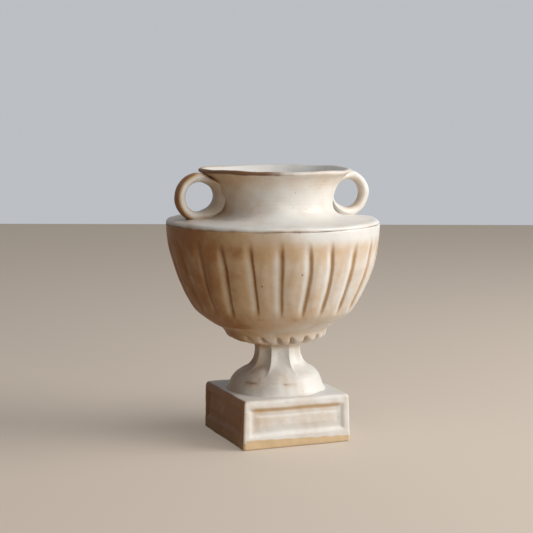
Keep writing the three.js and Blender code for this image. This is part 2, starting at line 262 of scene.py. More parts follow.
def finish_piece(piece, node, material):
    """Puts a finished piece in the place of its CAD node."""
    piece.data.materials.append(material)
    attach(piece, "root")
    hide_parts(node)


# Node tools

class Nodes:
    """Short calls for the nodes of one tree."""

    def __init__(self, tree):
        self.tree = tree

    def add(self, kind, **values):
        node = self.tree.nodes.new(kind)
        for key, value in values.items():
            setattr(node, key, value)
        return node

    def join(self, source, target):
        self.tree.links.new(source, target)

    def value(self, socket, value):
        """Sets a number or a colour, or joins a socket."""
        if isinstance(value, (int, float, tuple)):
            socket.default_value = value
        else:
            self.join(value, socket)

    def math(self, operation, a, b, clamp=False):
        node = self.add("ShaderNodeMath", operation=operation, use_clamp=clamp)
        self.value(node.inputs[0], a)
        self.value(node.inputs[1], b)
        return node.outputs[0]

    def noise(self, vector, scale, detail, roughness=0.55):
        """Noise from 0 to 1. The scale counts waves to the metre."""
        node = self.add("ShaderNodeTexNoise")
        self.join(vector, node.inputs["Vector"])
        node.inputs["Scale"].default_value = scale
        node.inputs["Detail"].default_value = detail
        node.inputs["Roughness"].default_value = roughness
        return node.outputs["Fac"]

    def sway(self, noise, amount):
        """Noise moved to swing about 0, over a range of amount."""
        return self.math("MULTIPLY", self.math("SUBTRACT", noise, 0.5), amount)

    def ramp(self, value, low, high):
        """0 at low, 1 at high, eased between."""
        node = self.add("ShaderNodeMapRange", interpolation_type="SMOOTHSTEP")
        self.value(node.inputs["Value"], value)
        node.inputs["From Min"].default_value = low
        node.inputs["From Max"].default_value = high
        return node.outputs["Result"]

    def blend(self, share, a, b):
        """Colour a at share 0, colour b at share 1. The colours' sockets have numbers because
        the node has others of the same names."""
        node = self.add("ShaderNodeMix", data_type="RGBA")
        self.value(node.inputs[0], share)
        self.value(node.inputs[6], a)
        self.value(node.inputs[7], b)
        return node.outputs[2]

    def seen(self):
        """1 for rays from the camera or off a mirror, 0 for all others."""
        path = self.add("ShaderNodeLightPath")
        return self.math("MAXIMUM", path.outputs["Is Camera Ray"], path.outputs["Is Glossy Ray"])


def empty_material(name):
    """A new material without nodes, and the tools to add them."""
    material = bpy.data.materials.new(name)
    material.use_nodes = True
    material.node_tree.nodes.clear()
    return material, Nodes(material.node_tree)


def group(name, inputs, outputs):
    """An empty shader node group with named sockets: name, kind and start value of each."""
    tree = bpy.data.node_groups.new(name, "ShaderNodeTree")
    for label, kind, start in inputs:
        socket = tree.interface.new_socket(label, in_out="INPUT", socket_type=kind)
        socket.default_value = start
    for label, kind in outputs:
        tree.interface.new_socket(label, in_out="OUTPUT", socket_type=kind)
    nodes = Nodes(tree)
    return nodes, nodes.add("NodeGroupInput").outputs, nodes.add("NodeGroupOutput").inputs


# Glaze and clay

FLOAT, COLOUR, VECTOR = "NodeSocketFloat", "NodeSocketColor", "NodeSocketVector"

WHITE = (0.79, 0.775, 0.735, 1)
TAN = (0.62, 0.42, 0.235, 1)
BROWN = (0.13, 0.065, 0.03, 1)
# Red-brown: the colour of the painted shade on the sides away from the key light, also mixed into
# dark slip
RED_BROWN = (0.37, 0.16, 0.05, 1)
BARE_LIGHT = (0.76, 0.56, 0.33, 1)
BARE_DARK = (0.6232, 0.4592, 0.2706, 1)


def glaze_group():
    """Cream glaze over iron-bearing clay. It is thick and white on open walls and toasted to tan,
    and turns red-brown where its browning input is highest, which on the sides away from the key
    light is painted shade. It breaks to brown on edges and along the lip, where the lip's brown is
    painted shade, gathers dark slip in grooves, where flute floors and notches carry painted
    shade, and has specks in its cloudier parts."""
    n, given, out = group(
        "cream_glaze",
        [("Vector", VECTOR, (0, 0, 0)), ("ToastAndShade", FLOAT, 0.2), ("BreakAndShade", FLOAT, 0.0),
         ("SlipAndShade", FLOAT, 0.0), ("White", COLOUR, WHITE), ("Tan", COLOUR, TAN),
         ("Brown", COLOUR, BROWN), ("RedBrown", COLOUR, RED_BROWN)],
        [("Color", COLOUR), ("Thin", FLOAT)])
    vector = given["Vector"]
    cloud = n.noise(vector, 42, 4)
    patch = n.noise(vector, 120, 3)
    fine = n.noise(vector, 900, 2, 0.6)
    toast_and_shade = n.math("ADD", given["ToastAndShade"], n.sway(cloud, 0.60))
    toast_and_shade = n.math("ADD", toast_and_shade, n.sway(patch, 0.3))
    colour = n.blend(n.ramp(toast_and_shade, -0.05, 0.75), given["White"], given["Tan"])
    # Red-brown where the browning is highest, mostly painted shade on the sides away from the key
    # light
    colour = n.blend(n.ramp(toast_and_shade, 0.64, 1.06), colour, given["RedBrown"])
    edge = n.ramp(n.math("ADD", given["BreakAndShade"], n.sway(patch, 0.9)), 0.25, 0.95)
    edge = n.math("MULTIPLY", edge, n.ramp(given["BreakAndShade"], 0.02, 0.25))
    colour = n.blend(n.math("MULTIPLY", edge, 0.85), colour, given["Brown"])
    slip_and_shade = n.math("MULTIPLY", given["SlipAndShade"], n.math("ADD", 0.55, n.math("MULTIPLY", fine, 0.6)))
    # One dark colour for slip and for the painted shade in flute floors, notches, panel recesses
    # and the plinth's left face
    slip = n.blend(0.45, given["RedBrown"], given["Brown"])
    colour = n.blend(n.math("MULTIPLY", slip_and_shade, 0.8), colour, slip)
    speck = n.ramp(n.noise(vector, 620, 1, 0.5), 0.69, 0.76)
    speck = n.math("MULTIPLY", speck, n.ramp(cloud, 0.42, 0.62))
    colour = n.blend(n.math("MULTIPLY", speck, 0.35), colour, given["Brown"])
    n.join(colour, out["Color"])
    n.join(n.math("MAXIMUM", edge, n.ramp(toast_and_shade, 0.0, 1.0)), out["Thin"])
    return n.tree


def skin_group():
    """Height of the small relief in fired glaze: orange peel, fine grain, and pinholes, each in
    the middle of a cell, in the few places where a slow noise is high."""
    n, given, out = group("fired_skin", [("Vector", VECTOR, (0, 0, 0)), ("Grain", FLOAT, 1.0)],
                          [("Height", FLOAT), ("Pinhole", FLOAT)])
    vector = given["Vector"]
    peel = n.noise(vector, 260, 2)
    grain = n.noise(vector, 1400, 3, 0.6)
    cells = n.add("ShaderNodeTexVoronoi")
    n.join(vector, cells.inputs["Vector"])
    cells.inputs["Scale"].default_value = 95
    spot = n.ramp(cells.outputs["Distance"], 0.085, 0.045)
    pinhole = n.math("MULTIPLY", spot, n.ramp(n.noise(vector, 31, 2), 0.6, 0.66))
    grain = n.math("MULTIPLY", n.math("MULTIPLY", grain, 0.25), given["Grain"])
    height = n.math("ADD", n.math("MULTIPLY", peel, 0.7), grain)
    height = n.math("SUBTRACT", height, n.math("MULTIPLY", pinhole, 1.5))
    n.join(height, out["Height"])
    n.join(pinhole, out["Pinhole"])
    return n.tree


GLAZE = glaze_group()
SKIN = skin_group()


def clay_material(name):
    """Glazed clay with its bare band, driven by the part's own masks. Bare clay is mottled
    between two tones, and coarser and duller than the glaze."""
    material, n = empty_material(name)
    vector = n.add("ShaderNodeTexCoord").outputs["Object"]
    toast_and_shade, thin_edge_and_shade, slip_and_shade, bare = (
        n.add("ShaderNodeAttribute", attribute_name=mask).outputs["Fac"]
        for mask in ("toast_and_shade", "break_and_shade", "slip_and_shade", "bare"))
    glaze = n.add("ShaderNodeGroup", node_tree=GLAZE)
    given = {"Vector": vector, "ToastAndShade": toast_and_shade, "BreakAndShade": thin_edge_and_shade, "SlipAndShade": slip_and_shade,
             "White": WHITE, "Tan": TAN, "Brown": BROWN, "RedBrown": RED_BROWN}
    for label, value in given.items():
        n.value(glaze.inputs[label], value)
    skin = n.add("ShaderNodeGroup", node_tree=SKIN)
    n.join(vector, skin.inputs["Vector"])
    n.join(n.math("ADD", 1.0, n.math("MULTIPLY", bare, 2.0)), skin.inputs["Grain"])
    clay = n.blend(n.noise(vector, 160, 4, 0.65), BARE_DARK, BARE_LIGHT)
    colour = n.blend(bare, glaze.outputs["Color"], clay)
    colour = n.blend(n.math("MULTIPLY", skin.outputs["Pinhole"], 0.75), colour, BROWN)
    rough = n.math("ADD", 0.40, n.math("MULTIPLY", glaze.outputs["Thin"], 0.16))
    rough = n.math("ADD", rough, n.math("MULTIPLY", bare, 0.36), clamp=True)
    relief = n.add("ShaderNodeBump")
    relief.inputs["Strength"].default_value = 0.35
    relief.inputs["Distance"].default_value = 0.0004
    n.join(skin.outputs["Height"], relief.inputs["Height"])
    shader = n.add("ShaderNodeBsdfPrincipled")
    shader.inputs["IOR"].default_value = 1.46
    n.join(colour, shader.inputs["Base Color"])
    n.join(rough, shader.inputs["Roughness"])
    n.join(relief.outputs["Normal"], shader.inputs["Normal"])
    n.join(shader.outputs["BSDF"], n.add("ShaderNodeOutputMaterial").inputs["Surface"])
    return material


# Bowl

# The turn of the first flute is in degrees round the axis
BOWL_BASE = STEM_TOP
FLUTES = 23
FLUTE_TURN = 3.4
FLUTE_DEPTH = 1.5
FLUTE_FOOT = BOWL_BASE + 24.5
FLUTE_HEAD = BOWL_BASE + 83

# Shares of a flute's pitch at which its flat land ends and its floor lies
FLUTE_LAND = 0.50
FLUTE_FLOOR = 0.925


def bowl_outline():
    """Flat foot, cone, quick turn, steep side, over the top and down the inside. Returns the
    outline and which of its points are outside."""
    base, top = BOWL_BASE, BOWL_TOP
    under = bezier((38.6, base + 12.6), (44.7, base + 16.0), (55.2, base + 21.8),
                   (59.0, base + 26.5))
    side = bezier((59.0, base + 26.5), (63.4, base + 31.9), (79, top - 28), (79, top))
    edge = bezier((79, top - 0.9), (79, top - 0.1), (78.2, top - 0.1), steps=8)
    outer = outline([(1, base), (14.5, base)], under, side[:-2], edge, [(76, top - 0.1)],
                    spacing=0.62)
    wall = bezier((73.4, top - 1), (73, base + 62), (58, base + 33), (53, base + 27))
    floor = bezier((53, base + 27), (38, base + 16), (18, base + 6.5), (1, base + 6))
    inner = outline([(76, top - 0.1), (73.4, top - 0.4)], wall, floor, spacing=2.0)
    line = np.vstack([outer, inner[1:]])
    return line, (np.arange(len(line)) < len(outer))[:, None]


def flute_share(angle, height):
    """Which flute an angle falls in, and where in its pitch, from 0 to 1. The pitch drifts a
    little, because each flute was gouged by eye: some lean, and those on the right crowd."""
    rise = (height - FLUTE_FOOT) / (FLUTE_HEAD - FLUTE_FOOT)
    drift = 2.7 * bump(from_front(angle), 44, 27)
    drift = drift + 0.55 * np.sin(5 * angle + 1.1) + 0.35 * np.sin(11 * angle + 4)
    drift = drift + 0.9 * np.sin(4 * angle + 2.2) * (rise - 0.5)
    drift = drift + 0.5 * np.sin(7 * angle + 5 * rise)
    return pitch_share(np.degrees(angle) + drift - FLUTE_TURN, FLUTES)


def gouged(angle, height):
    """The flutes as they are cut. Across the pitch: swelling land, a soft slope down to the
    floor, half cosine and half parabola, and a steep wall back up to a sharp arris. Along the
    flute: a fade at the foot, and one at the head, which a parabola across the pitch domes.
    Returns the share of the pitch, the fade, and the height of the cut surface over the outline
    before it fades."""
    flute, share = flute_share(angle, height)
    rng = np.random.default_rng(23)
    each = {key: rng.uniform(-1, 1, FLUTES)[flute] for key in ("deep", "head", "foot", "land")}
    land = FLUTE_LAND + 0.06 * each["land"]
    slope = np.clip((share - land) / (FLUTE_FLOOR - land), 0, 1)
    slope = 0.5 * smooth(slope) + 0.5 * slope ** 2
    wall = np.clip((1 - share) / (1 - FLUTE_FLOOR), 0, 1)
    wall = 0.6 * np.sin(np.pi / 2 * wall) + 0.4 * smooth(wall)
    cut = np.where(share < FLUTE_FLOOR, slope, wall)
    across = (share - (1 + land) / 2) / (1 - land)
    head = FLUTE_HEAD + 1.6 * each["head"] - 14 * across ** 2
    foot = FLUTE_FOOT + 1.2 * each["foot"] + 6 * across ** 2
    fade = smooth((height - foot) / 10) * smooth((head + 3 - height) / 16)
    left = smooth((10 - from_front(angle)) / 60)
    depth = FLUTE_DEPTH * (1 + 0.16 * each["deep"] + 0.6 * left) * cut
    crown = 0.35 * np.sin(np.pi * np.clip(share / land, 0, 1))
    return share, fade, crown - depth


def bowl():
    """The outline is carried round the axis and gouged by the flutes. The glaze carries painted
    shade in warm brown at the left, is pale under the shoulder at the right, where painted light
    also falls, and has painted shade on each flute's floor and a painted highlight on its slope."""
    line, outside = bowl_outline()
    angle, points, normals = turned(line, columns=FLUTES * 26)
    height = line[:, 1:]
    share, fade, relief = gouged(angle, height)
    fade = fade * outside
    points = points + normals * (relief * fade)[..., None]
    points = lean(handmade(points, normals, (46, 0.32, 5), (15, 0.11, 6)))
    front = from_front(angle)
    up = (height - BOWL_BASE) / (BOWL_TOP - BOWL_BASE)
    # Base tone, with painted shade in warm brown at the left and painted light at the right
    toast_and_shade = 0.42 + 1.08 * painted_left_shade(front, 20, 110) - 0.22 * painted_right_light(front)
    # Faint bands round the cone and over the flutes, and the pale rim at the right
    toast_and_shade = toast_and_shade + 0.04 * bump(up, 0.20, 0.16) + 0.18 * bump(up, 0.84, 0.08)
    toast_and_shade = toast_and_shade - 0.55 * bump(up, 1.0, 0.10) * smooth((front + 15) / 50)
    # Painted highlight on each flute's slope, which faces the key light, and painted shade,
    # browner, on its floor at the foot of the steep wall
    toast_and_shade = toast_and_shade + (0.38 * bump(share, 0.94, 0.07) - 0.30 * bump(share, 0.77, 0.10)) * fade
    arris = bump(share, 1, 0.05) * fade
    # Painted shade in the dark slip colour along each flute's floor
    floor = bump(share, 0.945, 0.035) * fade
    turn_edge = bump(height, BOWL_BASE + 26, 2.5) * outside
    seam = bump(height, BOWL_TOP, 0.8) * outside * shoulder_slip(points, front)
    masks = {"toast_and_shade": np.where(outside, toast_and_shade, 0.30),
             "break_and_shade": 0.30 * np.maximum(arris, turn_edge),
             "slip_and_shade": 0.42 * floor + 0.75 * seam, "bare": 0}
    return link_surface("bowl_body", points, masks, capped=True)


# Neck

# The radius that the handles' slip bands curl round, and the height of one throwing ring
NECK_WAIST = 44
THROWING_RING = 2.7


def neck_outline():
    """Round shoulder edge, gently rising shoulder, cove, flare and lip, then the throat back
    down and out under the shoulder."""
    base, top = BOWL_TOP, URN_TOP
    shoulder = bezier((78.7, base - 0.25), (79.3, base + 0.2), (79.2, base + 2.2),
                      (76.6, base + 2.9), steps=16)
    slope = bezier((76.6, base + 2.9), (66, base + 4.2), (56, base + 4.9))
    cove = bezier((56, base + 4.9), (45, base + 6.0), (43.8, base + 13.6))
    flare = bezier((43.8, base + 13.6), (43.4, base + 21.6), (47.4, base + 34.3),
                   (55.2, top - 3.4))
    lip = bezier((55.2, top - 3.4), (57.2, top - 2.6), (57.0, top - 0.2), (54.6, top - 0.05),
                 steps=24)
    crown = bezier((54.6, top - 0.05), (52.4, top), (51.4, top - 1.4), steps=16)
    throat = bezier((51.4, top - 1.4), (42.6, base + 33), (38.4, base + 22), (38.8, base + 13.6))
    under = bezier((38.8, base + 13.6), (39.6, base + 2.4), (54, base + 0.2))
    line = outline(shoulder, slope, cove, flare, lip, crown, throat, under, [(60, base + 0.1)],
                   spacing=0.85, closed=True)
    return softened(line, closed=True)


def neck():
    """The outline is carried round the axis. The lip wanders up and down in three slow waves,
    throwing rings run round the wall, and the shoulder's edge is uneven. Painted shade browns the
    lip's outer face and its underside, most at the left, and the wall at the left and under the
    lip."""
    base, top = BOWL_TOP, URN_TOP
    line = neck_outline()
    angle, points, normals = turned(line, columns=420)
    radius, height = line[:, :1], line[:, 1:]
    wave = 0.32 * np.sin(2 * angle + 0.6) + 0.22 * np.sin(5 * angle + 2.0)
    wave = wave + 0.16 * np.sin(9 * angle + 0.3)
    points[..., 2] += (wave - 0.35) * smooth((height - (top - 9)) / 8)
    rings = 0.05 * np.sin(TAU * height / THROWING_RING + 0.4 * np.sin(2 * angle))
    rings = rings * smooth((height - base - 6) / 5) * smooth((top - 4 - height) / 3)
    points = points + normals * rings[..., None]
    brim = 0.30 * ripple(points[..., 0], points[..., 1], 0, 22, 79)
    points[..., 2] += brim * smooth((radius - 70) / 6)
    points = lean(handmade(points, normals, (40, 0.34, 11), (13, 0.13, 12)))
    front = from_front(angle)
    along = lengths(line)[:, None]
    inside = smooth((along - along[np.argmax(height)]) / 3)
    wall = smooth((height - base - 6) / 6)
    # Painted shade in warm brown at the left
    left = painted_left_shade(front, 15, 90)
    seam = bump(height, base + 0.2, 0.7) * smooth((radius - 70) / 5) * shoulder_slip(points, front)
    # Painted shade in brown on the lip's outer face and its underside, most at the left
    lip_shade_left = 0.15 + 0.85 * smooth((22 - front) / 40) * smooth((front + 165) / 40)
    lip_face_shade = smooth(height - top + 3.6) * smooth((radius - 54.2) / 0.8) * lip_shade_left
    lip_underside_shade = bump(height, top - 4.4, 1.5) * smooth((radius - 50) / 3)
    toast_and_shade = 0.06 + 0.50 * left * wall + 0.26 * left ** 2 * (1 - wall)
    # Browner under the lip, painted shade, and dark slip in the joint with the bowl
    toast_and_shade = toast_and_shade + 0.20 * wall * bump(height, top - 6, 7) + 0.3 * seam
    masks = {"toast_and_shade": toast_and_shade * (1 - 0.9 * inside),
             "break_and_shade": np.clip(lip_face_shade + 0.22 * lip_underside_shade, 0, 1) * (1 - inside),
             "slip_and_shade": 0.6 * seam + 0.9 * lip_face_shade * (1 - inside), "bare": 0}
    return link_surface("neck_body", points, masks)


# Handles

HANDLE_ROWS = 220
HANDLE_COLUMNS = 56
HANDLE_CENTRE = (59.0, BOWL_TOP + 20.4)
HANDLE_REACH = (13.9, 14.2)
STRAP_HALF_THICK = 3.4
STRAP_HALF_WIDE = 5.7


def handle(name, side, seed):
    """A closed ring, whose inner arc lies half sunk in the neck as the band of slip that was
    smoothed round the strap's roots. Path: an ellipse, wider on the neck's side. Section: a
    superellipse, which towards the neck grows wide and thins out to a low bell, curled round
    the neck. The ring is thickest where it lands on the shoulder."""
    turn = TAU * np.arange(HANDLE_ROWS)[:, None] / HANDLE_ROWS
    ring = TAU * np.arange(HANDLE_COLUMNS)[None] / HANDLE_COLUMNS
    neckward = smooth((0.15 - np.cos(turn)) / 0.95)
    landing = bump(np.degrees(turn), 118, 32)
    path_x = HANDLE_CENTRE[0] + (HANDLE_REACH[0] + 1.2 * neckward) * np.cos(turn)
    path_z = HANDLE_CENTRE[1] - HANDLE_REACH[1] * np.sin(turn)
    path_z = path_z + 0.8 * neckward * np.sin(turn) ** 3
    path = np.hstack([path_x, path_z])
    tangent = np.roll(path, -1, axis=0) - np.roll(path, 1, axis=0)
    tangent /= np.hypot(*tangent.T)[:, None]
    out_x, out_z = -tangent[:, 1:], tangent[:, :1]
    deep = signed_power(np.cos(ring), 0.80 + 1.9 * neckward)
    wide = signed_power(np.sin(ring), 0.80 + 0.2 * neckward)
    outward = deep > 0
    thick = STRAP_HALF_THICK + 0.3 * landing + (2.6 * landing - 1.9 * neckward) * outward
    half = STRAP_HALF_WIDE + 6.3 * neckward ** 1.5 + 2.4 * landing
    curl = (wide * half) ** 2 / (2 * NECK_WAIST) * neckward
    height = path_z + out_z * deep * thick
    points = vectors(side * (path_x + out_x * deep * thick - curl), side * wide * half, height)
    normals = vectors(side * out_x * deep, side * wide, out_z * deep)
    points = lean(handmade(points, normals, (24, 0.30, seed), (9, 0.10, seed + 1)))
    # Painted shade on the faces turned away from the key light: the left handle's outer face and
    # its root, and the right handle's inner face
    if side < 0:
        away = np.abs((np.degrees(turn) + 180) % 360 - 180)
        strap = 0.14 + 0.9 * smooth(deep) * smooth((120 - away) / 60)
        root = 0.40
    else:
        strap = 0.08 + 0.22 * smooth(-deep)
        root = 0.10
    # Browner under the lip, painted shade
    root = root + 0.18 * bump(height, URN_TOP - 6, 7)
    foot = bump(np.degrees(turn), 92, 20) * outward
    masks = {"toast_and_shade": strap * (1 - neckward) + root * neckward, "break_and_shade": 0.12 * foot,
             "slip_and_shade": 0.34 * foot, "bare": 0}
    return link_surface(name, points, masks)


# Collar

LOBES = 20
LOBE_TURN = 16.4


def collar():
    """Outline: from the stem's top out under the lobes, up the slanted band, out onto the bowl's
    cone and back down within the bowl's wall. Each lobe is pillowed, a parabola across its
    pitch, and parted from the next by a notch, pressed a little aslant."""
    base = STEM_TOP
    under = bezier((17.6, base), (25.8, base + 2.2), (34.8, base + 6.6))
    band = bezier((34.8, base + 6.6), (37.0, base + 8.4), (39.0, base + 11.9))
    top = bezier((39.0, base + 11.9), (40.4, base + 13.3), (45.4, base + 16.2), steps=14)
    hidden = [(45.2, base + 16.8), (37.0, base + 13.2), (15, base + 0.9), (16, base)]
    line = softened(outline(under, band, top, hidden, spacing=0.55, closed=True), closed=True)
    angle, points, normals = turned(line, columns=LOBES * 22)
    radius, height = line[:, :1], line[:, 1:]
    up = (height - base) / (COLLAR_TOP - base)
    drift = 1.1 * np.sin(4 * angle + 1) + 0.8 * np.sin(9 * angle + 3)
    slant = 5.0 * (up - 0.5)
    lobe, share = pitch_share(np.degrees(angle) + drift + slant - LOBE_TURN, LOBES)
    deep = np.random.default_rng(20).uniform(0.75, 1.2, LOBES)
    late = smooth(4 * share - 3)
    deep = deep[lobe] * (1 - late) + np.roll(deep, -1)[lobe] * late
    outer = smooth((radius - (15 + 24 * up) - 1.2) / 2) * (up < 1.0)
    reach = smooth((up - 0.12) / 0.24) * smooth((0.86 - up) / 0.34) * outer
    notch = bump(np.minimum(share, 1 - share), 0, 0.24 - 0.16 * np.clip(up, 0, 1)) * reach * deep
    pillow = (1 - (2 * share - 1) ** 2) * reach
    points = points + normals * (1.2 * pillow - 3.8 * notch)[..., None]
    points = lean(handmade(points, normals, (14, 0.22, 8)))
    front = from_front(angle)
    # Painted shade in warm brown at the left and painted light at the right
    toast_and_shade = 0.48 + 0.50 * painted_left_shade(front, 20, 110) - 0.26 * painted_right_light(front)
    edge = bump(up, 0.52, 0.12) * bump(share, 0.5, 0.34) * outer
    # The notches between the lobes carry painted shade in the dark slip colour
    masks = {"toast_and_shade": toast_and_shade - 0.16 * bump(up, 0.5, 0.2), "break_and_shade": 0.15 * edge,
             "slip_and_shade": 0.55 * notch, "bare": 0}
    return link_surface("collar_band", points, masks)


# Stem

STEM_FLUTES = 9
STEM_FLUTE_TURN = 33.5

# Pinholes in the column: degrees from the front, height over the plinth, darkness
STEM_PINHOLES = [(-37, 29.0, 0.9), (33, 29.0, 0.6), (2, 28.0, 0.3)]
PINHOLE_SPREAD = 0.35
COLUMN_MM_PER_DEGREE = 0.30


def stem_outline():
    """The hollow inside, the bell foot with its band and dome, the waisted column and the flat
    top. Returns the outline and which of its points are outside."""
    base, top = PLINTH_TOP, STEM_TOP
    hollow = outline([(2, top - 7), (9, top - 8.5), (11.2, top - 12), (12.2, base + 15.7),
                      (28, base + 8.5), (30, base)], spacing=1.5)
    band = bezier((37.4, base), (34.7, base + 1.2), (34.6, base + 5.8), (33.3, base + 8.2))
    dome = bezier((33.3, base + 8.2), (30.9, base + 13.0), (23.6, base + 16.7))
    column = bezier((23.6, base + 16.7), (17.4, base + 20.5), (17.2, base + 30.5))
    outer = outline([(35.2, base)], band, dome, column, [(18.0, top)], spacing=0.42)
    flat = outline([(17, top), (2, top)], spacing=2.5)
    line = np.vstack([hollow, softened(outer), flat])
    row = np.arange(len(line))[:, None]
    return line, (row >= len(hollow)) & (row < len(hollow) + len(outer))


def stem():
    """The outline is carried round the axis. Nine hollow flutes, each nearly a parabola across
    its pitch, meet in sharp ridges, and a small step parts the band from the dome."""
    base, top = PLINTH_TOP, STEM_TOP
    line, outside = stem_outline()
    angle, points, normals = turned(line, columns=STEM_FLUTES * 44)
    height = line[:, 1:]
    front = from_front(angle)
    drift = 1.6 * np.sin(2 * angle + 0.5) + 1.0 * np.sin(5 * angle)
    flute, share = pitch_share(np.degrees(angle) + drift - STEM_FLUTE_TURN, STEM_FLUTES)
    foot = base + 12.4 + 1.3 * np.random.default_rng(9).uniform(-1, 1, STEM_FLUTES)[flute]
    fade = smooth((height - foot + 2.5 * (2 * share - 1) ** 2) / 7.0)
    fade = fade * smooth((top + 2.0 - height) / 5) * outside
    cut = 2.7 * (1 - np.abs(2 * share - 1) ** 2.2) * fade
    shown = 0.25 + 0.75 * smooth((35 - front) / 30)
    step = 0.30 * bump(height, base + 8.3, 0.9) * outside * shown
    points = points - vectors(np.cos(angle), np.sin(angle), 0) * (cut + step)[..., None]
    # The edge that stands on the plinth stays level
    normals[np.argmax(outside)] = 0
    points = lean(handmade(points, normals * outside[..., None], (26, 0.30, 15), (9, 0.10, 16)))
    ridge = np.maximum(bump(share, 0, 0.06), bump(share, 1, 0.06)) * fade
    broken = patchy(points, 0.25, 1.1, 13, 78) * shown
    edge = bump(height, base + 8.4, 1.2) * outside * broken
    seam = bump(height, top, 1.6) * outside
    pits = sum(dark * np.exp(-(((front - turn) * COLUMN_MM_PER_DEGREE) ** 2
                               + (height - base - up) ** 2) / PINHOLE_SPREAD)
               for turn, up, dark in STEM_PINHOLES) * outside
    # Painted shade in warm brown at the left; the brown band over the step is the glaze breaking
    toast_and_shade = 0.06 + 0.46 * painted_left_shade(front, 5, 90) + 0.20 * bump(height, base + 8, 2.4) * broken
    masks = {"toast_and_shade": toast_and_shade + 0.3 * bump(height, top, 3),
             "break_and_shade": np.maximum(0.14 * ridge, 0.6 * edge),
             "slip_and_shade": 0.3 * seam + 0.2 * edge + 1.4 * pits, "bare": 0}
    return link_surface("stem_column", points, masks, capped=True)


# Plinth

FACE_COLUMNS = 72
CORNER_COLUMNS = 14
VENT_RADIUS = 8
FOOT_HALF = 41.7
BAND_HALF = 42.15


def plinth_outline():
    """In half side and height: up the hollow, through the vent, over the top, down the leaning
    side and the foot band, and back under the foot."""
    top = PLINTH_TOP
    band = bezier((FOOT_HALF, 0.0), (FOOT_HALF + 0.35, 0.2), (BAND_HALF, 1.4), (BAND_HALF, 2.6),
                  steps=10)
    step = bezier((BAND_HALF, 5.2), (FOOT_HALF + 0.5, 5.9), (42.2, 6.2), (42.2, 6.8), steps=8)
    side = [(42.2, 6.6), (41.45, top - 4)]
    edge = bezier((41.45, top - 4), (41.45, top - 0.6), (40.6, top), (37.6, top), steps=18)
    line = outline([(35.2, 0), (FOOT_HALF, 0)], band, step, side, edge,
                   [(VENT_RADIUS, top), (VENT_RADIUS, top - 7), (34.4, top - 7), (35.2, 0)],
                   spacing=0.5, closed=True)
    return softened(line, closed=True)[::-1]


def square_ring(half, corner):
    """Points of a square with round corners, as a grid over rows of half sides and corner radii:
    four straight runs and four quarter circles, each with its own share of the columns. Also
    returns for each column the place along the face from -1 to 1, which face it is, and the
    outward normal."""
    run = (np.arange(FACE_COLUMNS) + 0.5) / FACE_COLUMNS * 2 - 1
    bend = np.radians(90 * (np.arange(CORNER_COLUMNS) + 0.5) / CORNER_COLUMNS)
    flat, corner_end = np.ones(FACE_COLUMNS), np.ones(CORNER_COLUMNS)
    reach = half - corner

    def four_faces(x, y):
        """Repeats the columns of one face and its corner for all four faces."""
        turns = [math.pi / 2 * face for face in range(4)]
        return (np.hstack([x * math.cos(turn) - y * math.sin(turn) for turn in turns]),
                np.hstack([x * math.sin(turn) + y * math.cos(turn) for turn in turns]))

    x, y = four_faces(np.hstack([reach * run, reach + corner * np.sin(bend)]),
                      np.hstack([-half * flat, -reach - corner * np.cos(bend)]))
    nx, ny = four_faces(np.hstack([0 * flat, np.sin(bend)]), np.hstack([-flat, -np.cos(bend)]))
    place = np.tile(np.hstack([run, corner_end]), 4)
    face = np.repeat(np.arange(4), FACE_COLUMNS + CORNER_COLUMNS)
    return x, y, place, face, nx, ny


